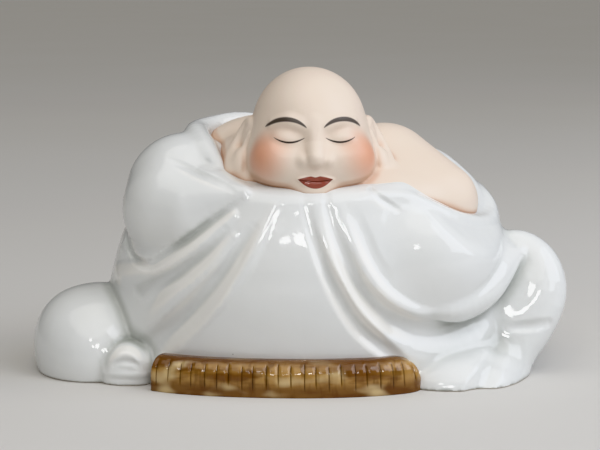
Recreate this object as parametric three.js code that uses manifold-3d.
// A seated, robed, bald monk of slip-cast porcelain behind a rolled straw mat, as one solid.
//
// The front looks along -Y, +X is to the right of someone facing it and +Z is up. The origin is the
// centre of the outline's box on the table. The free form is drawn in shares: hundredths of a block
// a little taller than the figure. HEIGHT alone sets the scale of the whole carving.

import * as THREE from "three";
import { mergeVertices } from "three/addons/utils/BufferGeometryUtils.js";
import Module from "manifold-3d";

const wasm = await Module();
wasm.setup();

// Driving dimensions, in millimetres

const HEIGHT = 158; // table to crown
const MAT_HEIGHT = 17.4; // thickness of the rolled straw mat in front
const MAT_DEPTH = 18; // how thick that roll is from front to back
const TICK_PITCH = 5.9; // spacing of the pressed stitches along the mat
const TICK_DEPTH = 1; // how deep each stitch is pressed in

const CROWN = 98.7; // height of the crown, in shares
const SHARE = HEIGHT / CROWN;

// Mesh fineness

const ROBE_CELL = 1.2; // grid spacing for the robe, in shares
const SKIN_CELL = 0.9; // grid spacing for the head, shoulder and arm
const ROBE_FACES = 5200;
const SKIN_FACES = 3500;
const STRAW_CELL = 0.62; // grid spacing for the straw mat
const STRAW_FACES = 1300;

// Fields: a field is a function of x, y, z that is below zero inside the clay and grows outwards

function lump(centre, radii, turn = [0, 0, 0]) {
  const [cx, cy, cz] = centre;
  const [rx, ry, rz] = radii;
  const euler = new THREE.Euler(...turn.map(THREE.MathUtils.degToRad), "ZYX");
  const m = new THREE.Matrix4().makeRotationFromEuler(euler).transpose().elements;
  return (x, y, z) => {
    const dx = x - cx;
    const dy = y - cy;
    const dz = z - cz;
    const px = (m[0] * dx + m[4] * dy + m[8] * dz) / rx;
    const py = (m[1] * dx + m[5] * dy + m[9] * dz) / ry;
    const pz = (m[2] * dx + m[6] * dy + m[10] * dz) / rz;
    const near = Math.sqrt(px * px + py * py + pz * pz);
    const slope = Math.hypot(px / rx, py / ry, pz / rz);
    return slope < 1e-6 ? -Math.min(rx, ry, rz) : (near * (near - 1)) / slope;
  };
}

const AWAY = 9; // beyond this a bar answers with the distance to its box, which is quicker

// A rounded bar through a row of balls, each [x, y, z, radius].
function roll(balls) {
  const low = [0, 1, 2].map((i) => Math.min(...balls.map((b) => b[i] - b[3])));
  const high = [0, 1, 2].map((i) => Math.max(...balls.map((b) => b[i] + b[3])));
  const bars = balls.slice(1).map((b, i) => {
    const a = balls[i];
    const along = [b[0] - a[0], b[1] - a[1], b[2] - a[2]];
    const length = Math.hypot(...along);
    const grow = THREE.MathUtils.clamp((b[3] - a[3]) / length, -0.95, 0.95);
    const lean = grow / Math.sqrt(1 - grow * grow);
    return { a, along: along.map((v) => v / length), length, grow, lean };
  });
  return (x, y, z) => {
    const boxed = Math.hypot(
      Math.max(low[0] - x, x - high[0], 0),
      Math.max(low[1] - y, y - high[1], 0),
      Math.max(low[2] - z, z - high[2], 0),
    );
    if (boxed > AWAY) return boxed;
    let nearest = Infinity;
    for (const { a, along, length, grow, lean } of bars) {
      const dx = x - a[0];
      const dy = y - a[1];
      const dz = z - a[2];
      const straight = dx * along[0] + dy * along[1] + dz * along[2];
      const beside = Math.sqrt(Math.max(0, dx * dx + dy * dy + dz * dz - straight * straight));
      const h = Math.min(length, Math.max(0, straight + beside * lean));
      const d = Math.hypot(dx - h * along[0], dy - h * along[1], dz - h * along[2]) - a[3] - h * grow;
      if (d < nearest) nearest = d;
    }
    return nearest;
  };
}

// The smooth line through rows of numbers, as a number of even steps.
function through(rows, steps) {
  const column = (n) => rows.map((row, i) => new THREE.Vector2(i, row[n]));
  const curves = rows[0].map((_, n) => new THREE.SplineCurve(column(n)));
  return Array.from({ length: steps + 1 }, (_, s) => curves.map((c) => c.getPoint(s / steps).y));
}

// The same bar, with its balls joined by a smooth curve.
const curvedRoll = (balls, steps = 14) => roll(through(balls, steps));

const slope = (at, along) => (x, y, z) =>
  along[0] * (x - at[0]) + along[1] * (y - at[1]) + along[2] * (z - at[2]);

const softMin = (a, b, k) => {
  const h = Math.max(0, k - Math.abs(a - b)) / k;
  return Math.min(a, b) - h * h * k * 0.25;
};

// Fields joined with a fillet of about k, one after another.
const joined = (k, ...fields) => (x, y, z) => {
  let d = fields[0](x, y, z);
  for (let i = 1; i < fields.length; i++) d = softMin(d, fields[i](x, y, z), k);
  return d;
};

// What is in the first field and under or outside the second, with a rounded edge of about k.
const kept = (k, field, limit) => (x, y, z) => -softMin(-field(x, y, z), -limit(x, y, z), k);
const cutBy = (k, field, tool) => kept(k, field, (x, y, z) => -tool(x, y, z));

// A hull whose outline in plan changes with height: rows of [z, left, right, front, back].
function hull(rows, middle = [0, -2]) {
  const spline = (n) => new THREE.SplineCurve(rows.map((r, i) => new THREE.Vector2(i, r[n])));
  const splines = [1, 2, 3, 4].map(spline);
  const heights = rows.map((r) => r[0]);
  const steps = 200;
  const low = heights[0];
  const high = heights.at(-1);
  const table = Array.from({ length: steps + 1 }, (_, s) => {
    const z = low + ((high - low) * s) / steps;
    const i = Math.min(heights.length - 2, heights.findLastIndex((h) => h <= z));
    const t = (i + (z - heights[i]) / (heights[i + 1] - heights[i])) / (heights.length - 1);
    return splines.map((c) => c.getPoint(t).y);
  });
  return (x, y, z) => {
    const at = THREE.MathUtils.clamp(((z - low) / (high - low)) * steps, 0, steps - 1e-6);
    const i = Math.floor(at);
    const [left, right, face, back] = table[i].map((v, n) => v + (at - i) * (table[i + 1][n] - v));
    const rx = x < middle[0] ? middle[0] - left : right - middle[0];
    const ry = y < middle[1] ? middle[1] - face : back - middle[1];
    const px = (x - middle[0]) / rx;
    const py = (y - middle[1]) / ry;
    const near = Math.hypot(px, py);
    const sideways = near < 1e-6 ? -Math.min(rx, ry) : (near * (near - 1)) / Math.hypot(px / rx, py / ry);
    return Math.max(sideways, 0.8 * (z - high));
  };
}

// Folds: lines drawn on the front or back elevation and pressed into the form or raised on it

// Each point of the line is [x, z, half width, height]. The height is above zero for a ridge and
// below zero for a valley. A steep fold is sharp on one side: +1 on its left along the line, -1 right.
function fold(line, { steep = 0, back = false } = {}) {
  const steps = 4 * (line.length - 1);
  const rows = through(line, steps);
  const widest = Math.max(...rows.map((r) => r[2]));
  const xs = rows.map((r) => r[0]);
  const zs = rows.map((r) => r[1]);
  const [x0, x1] = [Math.min(...xs) - widest, Math.max(...xs) + widest];
  const [z0, z1] = [Math.min(...zs) - widest, Math.max(...zs) + widest];
  return (x, y, z) => {
    if (x < x0 || x > x1 || z < z0 || z > z1) return 0;
    const facing = THREE.MathUtils.smoothstep(back ? y : -y, -2, 12);
    if (facing === 0) return 0;
    let nearest = Infinity;
    let value = 0;
    for (let i = 0; i < steps; i++) {
      const a = rows[i];
      const ux = rows[i + 1][0] - a[0];
      const uz = rows[i + 1][1] - a[1];
      const dx = x - a[0];
      const dz = z - a[1];
      const t = THREE.MathUtils.clamp((dx * ux + dz * uz) / (ux * ux + uz * uz + 1e-9), 0, 1);
      const d = Math.hypot(dx - t * ux, dz - t * uz);
      if (d >= nearest) continue;
      nearest = d;
      const width = a[2] + t * (rows[i + 1][2] - a[2]);
      const height = a[3] + t * (rows[i + 1][3] - a[3]);
      const side = Math.sign(ux * dz - uz * dx);
      const across = Math.min(1, (d / width) * (steep && side === steep ? 1.6 : 1));
      value = height * (1 - across * across) ** 2;
    }
    return value * facing;
  };
}

const FOLD_REACH = 8; // how far from the surface a fold still matters, in shares
const folded = (form, ...folds) => (x, y, z) => {
  let d = form(x, y, z);
  if (Math.abs(d) < FOLD_REACH) for (const f of folds) d -= f(x, y, z);
  return d;
};

// The robe

const COLLAR_CUT = slope([0, -43, 61.7], [0, -0.2, 0.98]);
const RIM_CUT = slope([46.7, -31, 53.4], [0.6, -0.34, 0.73]);

function robeBody() {
  const trunk = hull([
    [-12, -66, 71, -46, 47],
    [0, -66, 71, -47, 47],
    [14, -65, 71, -49, 47],
    [28, -62.5, 69, -50.8, 46],
    [38, -60, 67, -50.4, 44],
    [46, -57, 64.6, -48.8, 42],
    [54, -51, 62, -46.2, 39],
    [62, -44, 58.5, -43, 33],
    [70, -30, 49, -36, 25],
    [77, -16, 32, -27, 15],
  ]);
  const pouch = lump([40.5, -12, 39], [25, 33, 25]);
  const yoke = lump([-28, 3, 61], [19, 20, 15.5]);
  const open = kept(2.4, kept(3.5, joined(7, trunk, pouch), COLLAR_CUT), RIM_CUT);
  const folds = [
    // the gathers down the middle, from the collar to the train
    fold([[1, 62, 2, -0.1], [1.8, 56, 2.2, -0.3], [3.4, 50, 2.4, -0.6], [7.3, 40, 3, -1.2],
      [12, 31, 3.8, -1.9], [18.5, 21, 4.2, -2.2], [25.3, 14, 3.8, -1.7], [31, 9.5, 3, -0.4]]),
    fold([[4.6, 60, 2, 0.1], [5.6, 55, 2.2, 0.3], [7.6, 48, 2.5, 0.5], [10.5, 39, 3, 0.9],
      [14.5, 32, 3.6, 1.2], [19, 25.5, 4, 1.4], [25, 19.5, 4, 1.2], [32, 15.4, 3.8, 0.5]]),
    fold([[7.9, 62, 1.8, -0.2], [8.6, 57, 2, -0.4], [11, 48.6, 2.5, -0.8], [14.4, 40.5, 3.2, -1.6],
      [18.4, 32.3, 4, -2.5], [24.6, 24.9, 4.8, -3], [33.9, 19, 5.2, -2.4], [44, 17, 4.6, -0.4]]),
    fold([[12.4, 58, 2, 0.1], [14.6, 51, 2.4, 0.4], [18.2, 42.5, 2.9, 0.8], [22.5, 35, 3.2, 1.1],
      [29, 28.4, 3.4, 1.4], [37, 23.6, 3.6, 1.3], [45, 22, 3.4, 0.4]]),
    fold([[16.8, 56, 2.2, -0.1], [20.2, 47.6, 2.9, -0.5], [22.6, 41.7, 3, -0.5], [26, 36.4, 3, -0.2]]),
    // the fan under the sleeve
    fold([[-21, 54.5, 3, 0.6], [-29, 47, 3.6, 1.3], [-39, 40, 4, 1.8], [-48, 35.5, 4.4, 2],
      [-57, 32, 4.4, 1.6]]),
    fold([[-23.5, 50, 2.6, -0.3], [-28, 44.5, 3, -1], [-35.6, 37.8, 3.4, -1.4], [-42, 33.5, 3.4, -1.4],
      [-50, 28.5, 3, -0.9]]),
    fold([[-27, 42.4, 2, -0.1], [-33.1, 37, 2.2, -0.6], [-39.5, 32.8, 2.4, -0.9], [-44.3, 29, 2.6, -0.9],
      [-50, 23.5, 2.4, -0.1]]),
    fold([[-20.5, 47.5, 3, 0.3], [-26.8, 40.4, 3.6, 1], [-33.1, 34.6, 4, 1.3], [-40.5, 27, 4.4, 1.1],
      [-46, 19, 4, 0.3]]),
    fold([[-14.5, 51, 2.6, -0.2], [-20, 42.5, 3.4, -1.4], [-26.6, 32.5, 4.4, -2.6], [-35, 22, 5.6, -3.6],
      [-43, 14.5, 6, -2.6], [-49, 9, 5.5, -0.6]]),
    fold([[-8, 57, 2.6, 0.2], [-12, 49, 3, 0.7], [-16, 41, 3.4, 1], [-25, 28.5, 3.6, 1.1],
      [-35, 18.2, 3.4, 0.9], [-41, 13, 3, 0.2]]),
    // the back
    ...[
      [[-30, 66, 4, -0.8], [-14, 50, 5, -2.4], [4, 34, 6, -3], [26, 18, 6, -2.4], [46, 7, 5, -0.8]],
      [[-40, 52, 4, -0.8], [-27, 36, 5, -2.2], [-10, 21, 6, -2.6], [8, 8, 5, -0.8]],
      [[-4, 66, 4, -0.6], [16, 50, 5, -2.4], [38, 34, 6, -2.8], [58, 23, 5, -1]],
      [[28, 58, 3, -0.3], [44, 48, 3.6, -1.2], [58, 42, 3, -0.3]],
    ].map((rows) => fold(rows, { back: true })),
  ];
  const nape = curvedRoll([
    [30, 16, 62, 4],
    [18, 15.6, 67, 4.5],
    [5, 14, 70.6, 5],
    [-7, 11, 73, 5.2],
    [-20, 7, 74, 5],
  ], 12);
  const whole = folded(joined(4, joined(7, open, yoke), nape), ...folds);
  const rim = curvedRoll([
    [19, -41.8, 60.2, 0.2],
    [26, -40, 60.2, 0.6],
    [33, -37.4, 59.4, 1],
    [40, -34.2, 56.5, 1.4],
    [46.7, -30.4, 53.2, 1.6],
    [53, -24.6, 50.4, 1.8],
    [59, -16.6, 48.9, 1.9],
    [62.4, -7, 50, 2],
    [61.2, 3, 54.2, 2.1],
    [55.4, 11.5, 58.6, 2.2],
    [46.6, 17, 62.6, 2.2],
    [34, 19.6, 67, 2.1],
    [19, 19.6, 71, 2.1],
    [6, 18.2, 74.6, 2.2],
    [-6, 15.4, 77.6, 2.5],
  ], 40);
  return joined(2.5, whole, rim);
}

// The upper arm, the forearm in front of it, the turned-back lapel beside the neck, and the cuff below.
function sleeve() {
  const upperArm = roll([[-31, 0, 62, 10], [-36.5, -12.5, 57.8, 19.4]]);
  const forearm = roll([
    [-38, -18.5, 53.5, 18.6],
    [-33, -23.5, 52.8, 16.4],
    [-27.4, -28.7, 56, 11.6],
    [-22, -34, 57.9, 7],
    [-17, -39, 60.6, 2.6],
  ]);
  const lapel = curvedRoll([
    [-6, 15.4, 77.6, 2.5],
    [-20, 11, 79, 3],
    [-28.4, 5, 77.6, 3.6],
    [-33, -3, 76.4, 4.1],
    [-33, -11, 75.4, 4.2],
    [-30.8, -18, 73.2, 3.9],
    [-28, -23.6, 69.8, 3.3],
    [-25.2, -27.2, 66.4, 2],
  ], 24);
  const shoulder = folded(
    joined(1.4, joined(1.6, upperArm, lapel), forearm),
    fold([[-41, 70, 1.2, -0.1], [-37.5, 68.8, 1.5, -0.4], [-32, 66.4, 1.6, -0.6], [-26, 64.2, 1.6, -0.6],
      [-20.5, 61.8, 1.3, -0.2]]),
  );
  const cuff = curvedRoll([
    [-24, -37, 53.4, 1.4],
    [-36, -35, 44.4, 2.2],
    [-47, -27.5, 39, 2.8],
    [-54.6, -14, 39.5, 3.2],
  ]);
  return joined(0.8, shoulder, cuff);
}

function train() {
  const shell = lump([65, 2, 19.6], [20, 26, 24.4]);
  const under = slope([66.5, 0, 0], [0.83, 0, -0.55]);
  const lip = curvedRoll([
    [64, -10, 39.6, 2.8],
    [71.6, -13, 41.2, 3.4],
    [79.2, -15.6, 35.4, 4],
    [81.8, -17, 25.4, 4.2],
    [77.4, -18, 13.5, 4.3],
    [69.8, -21, 5, 4.4],
    [63, -25, -3, 4.4],
  ], 24);
  const face = folded(
    joined(8, kept(4, shell, under), lip),
    fold([[64, 19.4, 2.6, -0.3], [70, 19.6, 3, -0.8], [77.5, 19.5, 2.6, -0.2]]),
    fold([[62, 15.5, 3.6, -0.4], [58.5, 9.5, 4.6, -1.8], [54, 2, 4.6, -1.8]]),
  );
  const hem = lump([48, -22, -2], [24, 25, 12]);
  return joined(8, face, hem);
}

// The hollow that runs down beside the flap and under the pouch.
function scoop() {
  return curvedRoll([
    [74, -22, 40, 1.6],
    [72, -25.5, 35, 4],
    [67, -29.5, 27.8, 7],
    [57.6, -33.4, 21.4, 7.6],
    [47, -38.6, 18.2, 6.2],
    [38, -43, 17.8, 4.6],
    [30, -46, 20, 2.6],
  ], 24);
}

// The rolled edge of the sling that hangs in front of the train.
function flap() {
  return curvedRoll([
    [63, -6, 42.4, 2.6],
    [65, -14, 39.6, 3.8],
    [63.6, -21, 35.4, 4.6],
    [59.6, -27.5, 30.6, 4.6],
    [54, -33, 26.8, 4.4],
    [46, -37.6, 24.4, 3.6],
    [37, -40, 25.6, 1.6],
  ], 24);
}

function knee() {
  const crown = lump([-65.5, -9, 6], [21, 26, 21.6]);
  const side = lump([-73, -9, 11], [12.6, 19, 13.6]);
  return joined(4, crown, side);
}

// The gathered end of the cloth: a rounded bundle with two turns of cloth showing, over a flat foot.
function knot() {
  const bundle = lump([-54.4, -29.4, 4.4], [9.6, 10.6, 10], [0, 0, 16]);
  const gathered = folded(
    kept(1.8, bundle, slope([-54, -38.4, 3], [-0.12, -0.98, -0.12])),
    fold([[-61, 4.6, 1.2, -0.3], [-60.6, 8.6, 1.5, -0.8], [-57.6, 12.4, 1.6, -1], [-53.4, 13.2, 1.6, -1],
      [-49.6, 11.4, 1.5, -0.7], [-48, 8.2, 1.2, -0.2]]),
    fold([[-58.6, 8, 1.2, 0.2], [-56, 10.2, 1.5, 0.6], [-52.6, 10.2, 1.5, 0.6], [-50.4, 8, 1.2, 0.2]]),
    fold([[-58, 6.6, 1.2, -0.2], [-55, 7.8, 1.5, -0.7], [-51.6, 7.2, 1.4, -0.6], [-50, 5.4, 1.1, -0.1]]),
    fold([[-61, 3.8, 1.5, 0.1], [-55, 3.6, 1.7, 0.6], [-48, 3.6, 1.5, 0.3]]),
  );
  return joined(1.2, gathered, lump([-54.4, -29.6, 0], [9, 8.8, 4.6]));
}

const draped = cutBy(4, joined(2, robeBody(), train()), scoop());
const robe = joined(1.2, joined(1.6, draped, flap()), sleeve(), knee(), knot());

// Head, neck, bare shoulder and arm. The head is built about the point between its eyes' sockets.

const HEAD_CENTRE = [3, -22, 78.5];
const HEAD_TURN = 5; // degrees, towards the bare shoulder

const pair = (shape, [x, y, z], radii, turn = [0, 0, 0]) => [
  shape([x, y, z], radii, turn),
  shape([-x, y, z], radii, [turn[0], -turn[1], -turn[2]]),
];
const rollPair = (balls, bend = curvedRoll) => [
  bend(balls),
  bend(balls.map(([x, ...rest]) => [-x, ...rest])),
];

function headForm() {
  const skull = lump([0, 1.5, 1.4], [18, 20.5, 18.8]);
  const jowls = lump([0, -1.5, -10.6], [21.2, 18.2, 13.2]);
  const cheeks = pair(lump, [10.4, -12.6, -7.6], [8.2, 7.4, 7.2]);
  const chin = lump([0, -15.4, -17.8], [6.5, 4.8, 4.2]);
  const mass = joined(4, joined(9, skull, jowls), ...cheeks, chin);
  const sockets = pair(lump, [7.9, -21.6, -0.4], [5.6, 4, 3.2]);
  const lids = pair(lump, [7.9, -14.8, -0.9], [4.9, 3.7, 2.9]);
  const brows = rollPair([[3.4, -16.8, 3.2, 0.8], [7.8, -16.3, 4.8, 1.1], [12.4, -13, 3.6, 0.7]]);
  const bridge = roll([[0, -16.4, 4, 2.2], [0, -18.6, -2.2, 2.1], [0, -20.6, -6.4, 2.9]]);
  const wings = pair(lump, [3.4, -19, -7.2], [2.2, 2.6, 1.9]);
  const upperLip = joined(0.8, ...pair(lump, [2.4, -18.2, -12.7], [3.6, 2, 1.05], [0, 6, -12]));
  const lowerLip = joined(1, ...pair(lump, [1.4, -18.2, -14.8], [3.3, 2, 1.4], [0, -8, -8]));
  const shaped = joined(1.4, cutBy(3, mass, joined(0.5, ...sockets)), ...lids);
  const face = joined(2.4, joined(1.8, shaped, joined(0.9, bridge, ...wings)), ...brows);
  return joined(0.6, face, joined(0.15, upperLip, lowerLip));
}

function ears() {
  const rims = rollPair([
    [17.6, -2.6, 1.6, 1],
    [18.8, 1, 3.2, 1.2],
    [20.6, 2.2, 0.6, 1.4],
    [22.8, 1.2, -3.6, 1.6],
    [24.4, -1, -8.6, 2.2],
    [25.4, -3.6, -13.4, 2.8],
  ]);
  const shells = pair(lump, [19.8, 0.2, -1.8], [1.7, 4, 6.6], [0, -14, -12]);
  const lobes = pair(lump, [22.8, -3.6, -11], [3, 3.8, 6.6], [0, -16, -18]);
  const inner = rollPair([[19, -3.4, -0.4, 0.7], [20.4, -3.4, -3.8, 0.9], [21.4, -4.6, -7.4, 0.8]]);
  return joined(0.9, joined(1.5, ...rims, ...shells, ...lobes), ...inner);
}

function headField() {
  const local = joined(0.9, headForm(), ears());
  const c = Math.cos(THREE.MathUtils.degToRad(HEAD_TURN));
  const s = Math.sin(THREE.MathUtils.degToRad(HEAD_TURN));
  return (x, y, z) => {
    const dx = x - HEAD_CENTRE[0];
    const dy = y - HEAD_CENTRE[1];
    return local(c * dx + s * dy, c * dy - s * dx, z - HEAD_CENTRE[2]);
  };
}

function skinField() {
  const shoulders = joined(
    7,
    lump([0, -10, 64], [16, 17, 13]),
    lump([-9, 0, 68.4], [20, 13, 14]),
    lump([-20, -3, 68.6], [12, 10, 9.6]),
    lump([-14, -19, 62], [12, 14, 9]),
    lump([-20.5, -18, 67], [5, 9, 9]),
    lump([20, -17, 57], [27, 21.4, 12]),
    roll([[27.5, 1, 61.2, 18], [44.6, -14, 55.2, 12.6]]),
  );
  return joined(1.2, shoulders, headField());
}

const skin = skinField();

// The straw mat: a rounded roll along the front of the base, with stitches pressed in at one pitch

function strawField() {
  const tall = MAT_HEIGHT / SHARE;
  const half = MAT_DEPTH / 2 / SHARE;
  const back = [[-41.5, -35.3], [-31, -39.7], [-12, -43.1], [6, -43.7], [22, -41.1], [32, -36.9]];
  const path = new THREE.SplineCurve(back.map(([x, y]) => new THREE.Vector2(x, y - half)));
  const length = path.getLength();
  const stops = path.getSpacedPoints(60);
  const round = 0.62 * half;
  const pitch = TICK_PITCH / SHARE;
  const count = Math.round(length / pitch);
  return (x, y, z) => {
    let nearest = Infinity;
    let along = 0;
    for (let i = 0; i < 60; i++) {
      const a = stops[i];
      const ux = stops[i + 1].x - a.x;
      const uy = stops[i + 1].y - a.y;
      const t = Math.min(1, Math.max(0, ((x - a.x) * ux + (y - a.y) * uy) / (ux * ux + uy * uy)));
      const d = Math.hypot(x - a.x - t * ux, y - a.y - t * uy);
      if (d < nearest) {
        nearest = d;
        along = ((i + t) / 60) * count;
      }
    }
    const qx = nearest - half + round;
    const qz = z - tall + round;
    const smooth = Math.hypot(Math.max(qx, 0), Math.max(qz, 0)) + Math.min(Math.max(qx, qz), 0) - round;
    const beside = Math.min(1, (Math.abs(along - Math.round(along)) * pitch) / 0.8);
    const ends = THREE.MathUtils.smoothstep(z, 0.5, 3) * THREE.MathUtils.smoothstep(tall - z, 0, 1.2);
    return smooth + (TICK_DEPTH / SHARE) * (1 - beside * beside) ** 2 * ends;
  };
}

const straw = strawField();

// Meshes: the zero surface of a field, as closed triangles

const CORNERS = [0, 1, 2, 3, 4, 5, 6, 7].map((i) => [i & 1, (i >> 1) & 1, i >> 2]);
// The six tetrahedra round the cube's long diagonal, from corner 0 to corner 7.
const TETRAHEDRA = [[1, 3], [3, 2], [2, 6], [6, 4], [4, 5], [5, 1]].map(([a, b]) => [0, a, b, 7]);

function surfaceOf(field, low, high, cell) {
  const size = low.map((v, i) => Math.ceil((high[i] - v) / cell) + 1);
  const index = (i, j, k) => (k * size[1] + j) * size[0] + i;
  const values = new Float32Array(size[0] * size[1] * size[2]);
  const place = (n) => {
    const i = n % size[0];
    const j = Math.floor(n / size[0]) % size[1];
    const k = Math.floor(n / (size[0] * size[1]));
    return [low[0] + i * cell, low[1] + j * cell, low[2] + k * cell];
  };
  // Blocks whose middle is far from the surface are filled with that one value.
  const block = 5;
  const far = block * cell * 0.9 + 4.5;
  for (let k = 0; k < size[2]; k += block)
    for (let j = 0; j < size[1]; j += block)
      for (let i = 0; i < size[0]; i += block) {
        const half = (block - 1) / 2;
        const centre = [i, j, k].map((v, n) => low[n] + (v + half) * cell);
        const middle = field(...centre);
        for (let c = k; c < Math.min(k + block, size[2]); c++)
          for (let b = j; b < Math.min(j + block, size[1]); b++)
            for (let a = i; a < Math.min(i + block, size[0]); a++) {
              const n = index(a, b, c);
              values[n] = Math.abs(middle) > far ? middle : field(...place(n));
            }
      }

  const points = [];
  const faces = [];
  const made = new Map();
  const crossing = (a, b) => {
    const key = a < b ? a * values.length + b : b * values.length + a;
    if (!made.has(key)) {
      const pa = place(a);
      const pb = place(b);
      const on = (t) => pa.map((v, i) => v + t * (pb[i] - v));
      let [t0, t1, d0, d1] = [0, 1, values[a], values[b]];
      let t = d0 / (d0 - d1);
      for (let turn = 0; turn < 2; turn++) {
        const d = field(...on(t));
        if (d < 0 === d0 < 0) [t0, d0] = [t, d];
        else [t1, d1] = [t, d];
        if (d0 !== d1) t = t0 + ((t1 - t0) * d0) / (d0 - d1);
      }
      made.set(key, points.length);
      points.push(on(THREE.MathUtils.clamp(t, 0.03, 0.97)));
    }
    return made.get(key);
  };
  const outwards = (inside, outside, ring) => {
    const mean = (list) => [0, 1, 2].map((i) => list.reduce((s, n) => s + place(n)[i], 0) / list.length);
    const out = mean(outside).map((v, i) => v - mean(inside)[i]);
    const [a, b, c] = ring.map((n) => points[n]);
    const u = b.map((v, i) => v - a[i]);
    const w = c.map((v, i) => v - a[i]);
    const normal = [u[1] * w[2] - u[2] * w[1], u[2] * w[0] - u[0] * w[2], u[0] * w[1] - u[1] * w[0]];
    return normal[0] * out[0] + normal[1] * out[1] + normal[2] * out[2] > 0 ? ring : [...ring].reverse();
  };
  for (let k = 0; k < size[2] - 1; k++)
    for (let j = 0; j < size[1] - 1; j++)
      for (let i = 0; i < size[0] - 1; i++) {
        if (Math.abs(values[index(i, j, k)]) > 4 * cell) continue;
        const cube = CORNERS.map(([a, b, c]) => index(i + a, j + b, k + c));
        const below = cube.filter((n) => values[n] < 0).length;
        if (below === 0 || below === 8) continue;
        for (const tet of TETRAHEDRA) {
          const inside = tet.map((c) => cube[c]).filter((n) => values[n] < 0);
          const outside = tet.map((c) => cube[c]).filter((n) => values[n] >= 0);
          if (!inside.length || !outside.length) continue;
          if (inside.length === 2) {
            const [a, b] = inside;
            const [c, d] = outside;
            const corners = [crossing(a, c), crossing(a, d), crossing(b, d), crossing(b, c)];
            const ring = outwards(inside, outside, corners);
            faces.push([ring[0], ring[1], ring[2]], [ring[0], ring[2], ring[3]]);
          } else {
            const [one, three] = inside.length === 1 ? [inside[0], outside] : [outside[0], inside];
            faces.push(outwards(inside, outside, three.map((n) => crossing(one, n))));
          }
        }
      }
  return { points, faces };
}

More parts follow.
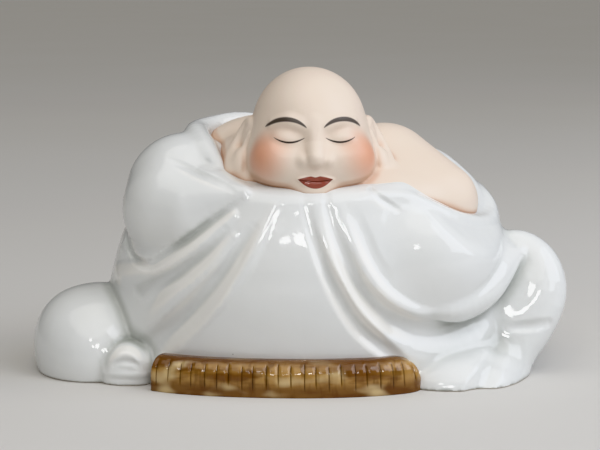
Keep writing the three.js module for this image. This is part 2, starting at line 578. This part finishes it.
// Thins a closed mesh by quadric edge collapse: the edge whose loss changes the shape least goes first.
function thinned({ points, faces }, count) {
  const at = Float64Array.from(points.flat());
  const quadrics = new Float64Array(10 * points.length);
  const around = points.map(() => []);
  const stamps = new Uint32Array(points.length);
  const corners = faces.map((f) => [...f]);
  const normal = new Float64Array(3);
  const measure = (f) => {
    const [a, b, c] = corners[f];
    const ux = at[3 * b] - at[3 * a];
    const uy = at[3 * b + 1] - at[3 * a + 1];
    const uz = at[3 * b + 2] - at[3 * a + 2];
    const wx = at[3 * c] - at[3 * a];
    const wy = at[3 * c + 1] - at[3 * a + 1];
    const wz = at[3 * c + 2] - at[3 * a + 2];
    normal[0] = uy * wz - uz * wy;
    normal[1] = uz * wx - ux * wz;
    normal[2] = ux * wy - uy * wx;
    return Math.sqrt(normal[0] ** 2 + normal[1] ** 2 + normal[2] ** 2);
  };
  corners.forEach((face, f) => {
    const area = measure(f) || 1e-12;
    const [a, b, c] = [normal[0] / area, normal[1] / area, normal[2] / area];
    const d = -(a * at[3 * face[0]] + b * at[3 * face[0] + 1] + c * at[3 * face[0] + 2]);
    const q = [a * a, a * b, a * c, a * d, b * b, b * c, b * d, c * c, c * d, d * d];
    for (const v of face) {
      around[v].push(f);
      for (let i = 0; i < 10; i++) quadrics[10 * v + i] += q[i] * area;
    }
  });

  const heap = [];
  const push = (item) => {
    let i = heap.push(item) - 1;
    while (i > 0) {
      const up = (i - 1) >> 1;
      if (heap[up].cost <= item.cost) break;
      heap[i] = heap[up];
      i = up;
    }
    heap[i] = item;
  };
  const pop = () => {
    const top = heap[0];
    const last = heap.pop();
    if (!heap.length) return top;
    let i = 0;
    for (;;) {
      let down = 2 * i + 1;
      if (down >= heap.length) break;
      if (down + 1 < heap.length && heap[down + 1].cost < heap[down].cost) down++;
      if (last.cost <= heap[down].cost) break;
      heap[i] = heap[down];
      i = down;
    }
    heap[i] = last;
    return top;
  };

  const q = new Float64Array(10);
  const errorAt = (x, y, z) =>
    q[0] * x * x + q[4] * y * y + q[7] * z * z + q[9] +
    2 * (q[1] * x * y + q[2] * x * z + q[3] * x + q[5] * y * z + q[6] * y + q[8] * z);
  const consider = (a, b) => {
    for (let i = 0; i < 10; i++) q[i] = quadrics[10 * a + i] + quadrics[10 * b + i];
    const [ax, ay, az] = [at[3 * a], at[3 * a + 1], at[3 * a + 2]];
    const [bx, by, bz] = [at[3 * b], at[3 * b + 1], at[3 * b + 2]];
    const long = (ax - bx) ** 2 + (ay - by) ** 2 + (az - bz) ** 2;
    let best = { cost: Infinity, a, b, x: 0, y: 0, z: 0, stamp: stamps[a] + stamps[b] };
    const offer = (x, y, z) => {
      const cost = errorAt(x, y, z) + 1e-4 * long;
      if (cost < best.cost) best = { ...best, cost, x, y, z };
    };
    const m00 = q[4] * q[7] - q[5] * q[5];
    const m01 = q[1] * q[7] - q[5] * q[2];
    const m02 = q[1] * q[5] - q[4] * q[2];
    const det = q[0] * m00 - q[1] * m01 + q[2] * m02;
    if (Math.abs(det) > 1e-3 * (q[0] + q[4] + q[7]) ** 3) {
      const m11 = q[0] * q[7] - q[2] * q[2];
      const m12 = q[0] * q[5] - q[1] * q[2];
      const m22 = q[0] * q[4] - q[1] * q[1];
      const x = (-q[3] * m00 + q[6] * m01 - q[8] * m02) / det;
      const y = (q[3] * m01 - q[6] * m11 + q[8] * m12) / det;
      const z = (-q[3] * m02 + q[6] * m12 - q[8] * m22) / det;
      const far = (x - (ax + bx) / 2) ** 2 + (y - (ay + by) / 2) ** 2 + (z - (az + bz) / 2) ** 2;
      if (far < 0.6 * long) offer(x, y, z);
    }
    if (best.cost === Infinity) {
      offer((ax + bx) / 2, (ay + by) / 2, (az + bz) / 2);
      offer(ax, ay, az);
      offer(bx, by, bz);
    }
    push(best);
  };
  const neighbours = (v) => {
    const found = [];
    for (const f of around[v]) for (const n of corners[f]) if (n !== v && !found.includes(n)) found.push(n);
    return found;
  };
  for (const [a, b, c] of corners) {
    if (a < b) consider(a, b);
    if (b < c) consider(b, c);
    if (c < a) consider(c, a);
  }

  let left = corners.length;
  const before = [];
  while (left > count && heap.length) {
    const { a, b, x, y, z, stamp } = pop();
    if (!around[a] || !around[b] || stamps[a] + stamps[b] !== stamp) continue;
    const mine = neighbours(a);
    if (!mine.includes(b) || neighbours(b).filter((n) => mine.includes(n)).length !== 2) continue;
    const staying = [
      ...around[a].filter((f) => !corners[f].includes(b)),
      ...around[b].filter((f) => !corners[f].includes(a)),
    ];
    staying.forEach((f, i) => {
      const size = measure(f);
      before[i] = [normal[0] / size, normal[1] / size, normal[2] / size];
    });
    const was = [at[3 * a], at[3 * a + 1], at[3 * a + 2], at[3 * b], at[3 * b + 1], at[3 * b + 2]];
    at.set([x, y, z], 3 * a);
    at.set([x, y, z], 3 * b);
    const turned = staying.some((f, i) => {
      const size = measure(f);
      const dot = normal[0] * before[i][0] + normal[1] * before[i][1] + normal[2] * before[i][2];
      return size < 1e-3 || dot < 0.2 * size;
    });
    if (turned) {
      at.set(was.slice(0, 3), 3 * a);
      at.set(was.slice(3), 3 * b);
      continue;
    }
    for (const f of around[b]) {
      if (corners[f].includes(a)) {
        for (const n of corners[f]) if (n !== b) around[n] = around[n].filter((g) => g !== f);
        corners[f] = null;
        left--;
      } else {
        corners[f][corners[f].indexOf(b)] = a;
        around[a].push(f);
      }
    }
    around[b] = null;
    for (let i = 0; i < 10; i++) quadrics[10 * a + i] += quadrics[10 * b + i];
    stamps[a] += 1 + stamps[b];
    for (const n of neighbours(a)) consider(a, n);
  }
  return {
    points: points.map((_, i) => [at[3 * i], at[3 * i + 1], at[3 * i + 2]]),
    faces: corners.filter(Boolean),
  };
}

// A mesh in shares of the height as a three.js geometry in millimetres.
function geometryOf({ points, faces }) {
  const geometry = new THREE.BufferGeometry();
  geometry.setAttribute("position", new THREE.Float32BufferAttribute(points.flat(), 3));
  geometry.setIndex(faces.flat());
  return geometry.scale(SHARE, SHARE, SHARE);
}

function sculpted(field, low, high, cell, count) {
  return geometryOf(thinned(surfaceOf(field, low, high, cell), count));
}

// Joining and trimming

// The mesh must already share its corner points.
function solidOf(geometry) {
  return new wasm.Manifold(
    new wasm.Mesh({
      numProp: 3,
      vertProperties: geometry.attributes.position.array,
      triVerts: new Uint32Array(geometry.index.array),
    }),
  );
}

// A plain three.js shape with its corner points shared.
function welded(shape) {
  const bare = shape.clone();
  bare.deleteAttribute("normal");
  bare.deleteAttribute("uv");
  return mergeVertices(bare, 1e-3);
}

function geometryFrom(solid) {
  const { vertProperties, triVerts } = solid.getMesh();
  const geometry = new THREE.BufferGeometry();
  geometry.setAttribute("position", new THREE.BufferAttribute(new Float32Array(vertProperties), 3));
  return geometry.setIndex(new THREE.BufferAttribute(triVerts, 1));
}

const BELOW = 6; // how far the clay runs below the table before it is trimmed flat
const robeAbove = kept(1, robe, slope([0, 0, -BELOW], [0, 0, -1]));
const skinAbove = kept(1, skin, slope([0, 0, 44], [0, 0, -1]));
const robeSolid = solidOf(sculpted(robeAbove, [-92, -66, -BELOW - 3], [94, 62, 92], ROBE_CELL, ROBE_FACES));
const strawAbove = kept(0.5, straw, slope([0, 0, -2], [0, 0, -1]));
const strawLow = [-44 - MAT_DEPTH / 2 / SHARE, -46 - MAT_DEPTH / SHARE, -4];
const strawHigh = [35 + MAT_DEPTH / 2 / SHARE, -33, 3 + MAT_HEIGHT / SHARE];
const strawSolid = solidOf(sculpted(strawAbove, strawLow, strawHigh, STRAW_CELL, STRAW_FACES));
const skinSolid = solidOf(sculpted(skinAbove, [-36, -56, 41], [68, 34, 103], SKIN_CELL, SKIN_FACES));
const floorBox = new THREE.BoxGeometry(4 * HEIGHT, 4 * HEIGHT, 2 * HEIGHT).translate(0, 0, -HEIGHT);

const figure = robeSolid.add(skinSolid).add(strawSolid).subtract(solidOf(welded(floorBox)));

const geometry = geometryFrom(figure);
geometry.computeBoundingBox();
const middle = geometry.boundingBox.getCenter(new THREE.Vector3());
geometry.translate(-middle.x, -middle.y, 0);

const porcelain = new THREE.MeshStandardMaterial({ color: 0xe6e7e2, roughness: 0.12, metalness: 0 });
const mesh = new THREE.Mesh(geometry, porcelain);
mesh.name = "figure";

const group = new THREE.Group();
group.add(mesh);
group.userData.carvingOrigin = [-middle.x, -middle.y, 0]; // where the carving's own origin lies
export default group;
